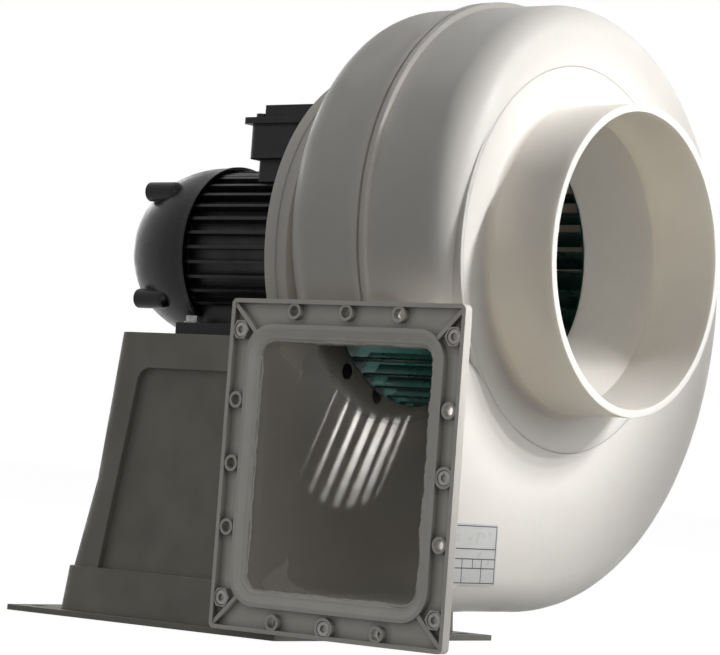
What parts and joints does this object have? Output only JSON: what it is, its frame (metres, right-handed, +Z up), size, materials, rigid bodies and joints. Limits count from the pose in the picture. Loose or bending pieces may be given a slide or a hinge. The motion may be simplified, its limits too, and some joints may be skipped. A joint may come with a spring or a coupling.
{
  "type": "industrial centrifugal blower",
  "caption": "Direct-drive centrifugal blower: moulded scroll casing, round inlet spigot, rectangular flanged outlet and finned foot motor on a pedestal; the shaft and impeller turn.",
  "frame": {"origin": "centre of the base plate's underside, which rests on the floor", "axes": "+Z up, shaft along Y with the inlet facing -Y and the motor on the +Y side, outlet facing -X"},
  "size_m": [0.2793, 0.3312, 0.3433],
  "materials": {
    "casing_plastic": "satin moulded polypropylene, off-white",
    "support_plastic": "moulded polypropylene, dark grey",
    "wheel_plastic": "moulded, very dark green",
    "motor_paint": "semi-gloss black enamel on cast aluminium",
    "cowl_steel": "semi-gloss black enamel on pressed steel",
    "black_plastic": "black moulded plastic",
    "steel": "zinc-plated steel",
    "core_steel": "stacked electrical steel",
    "rotor_aluminium": "die cast",
    "copper": "enamelled copper wire",
    "brass": "turned",
    "rubber": "black"
  },
  "bodies": {
    "housing": {"base_plate": "support_plastic", "plinth_screws": "steel", "pedestal": "support_plastic", "front_shell": "casing_plastic", "rear_shell": "casing_plastic", "inlet_cone": "casing_plastic", "motor_side_disc": "casing_plastic", "disc_screws": "steel", "shaft_seal": "rubber", "casing_bolts": "steel", "casing_nuts": "steel", "outlet_flange": "casing_plastic", "flange_screws": "steel", "flange_nuts": "steel", "stator_core": "core_steel", "stator_windings": "copper", "motor_frame": "motor_paint", "front_end_shield": "motor_paint", "rear_end_shield": "motor_paint", "shield_screws": "steel", "front_bearing": "steel", "rear_bearing": "steel", "preload_washer": "steel", "fan_cowl": "cowl_steel", "cowl_screws": "steel", "foot_bolts": "steel", "foot_washers": "steel", "foot_nuts": "steel", "terminal_box": "motor_paint", "box_screws": "steel", "terminal_box_lid": "motor_paint", "lid_gasket": "rubber", "lid_screws": "motor_paint", "terminal_block": "black_plastic", "terminal_studs": "brass", "cable_gland": "black_plastic", "gland_nut": "brass"},
    "rotor": {"impeller_back_plate": "wheel_plastic", "impeller_blades": "wheel_plastic", "impeller_front_ring": "wheel_plastic", "impeller_hub": "rotor_aluminium", "hub_rivets": "rotor_aluminium", "hub_set_screw": "steel", "shaft_key": "steel", "motor_shaft": "steel", "rotor_core": "core_steel", "rotor_end_rings": "rotor_aluminium", "cooling_fan": "black_plastic"}
  },
  "joints": [
    {"name": "rotor_spin", "type": "hinge", "parent": "housing", "child": "rotor", "pos_m": [0, -0.1, 0.206], "axis": [0, 1, 0], "continuous": true}
  ]
}
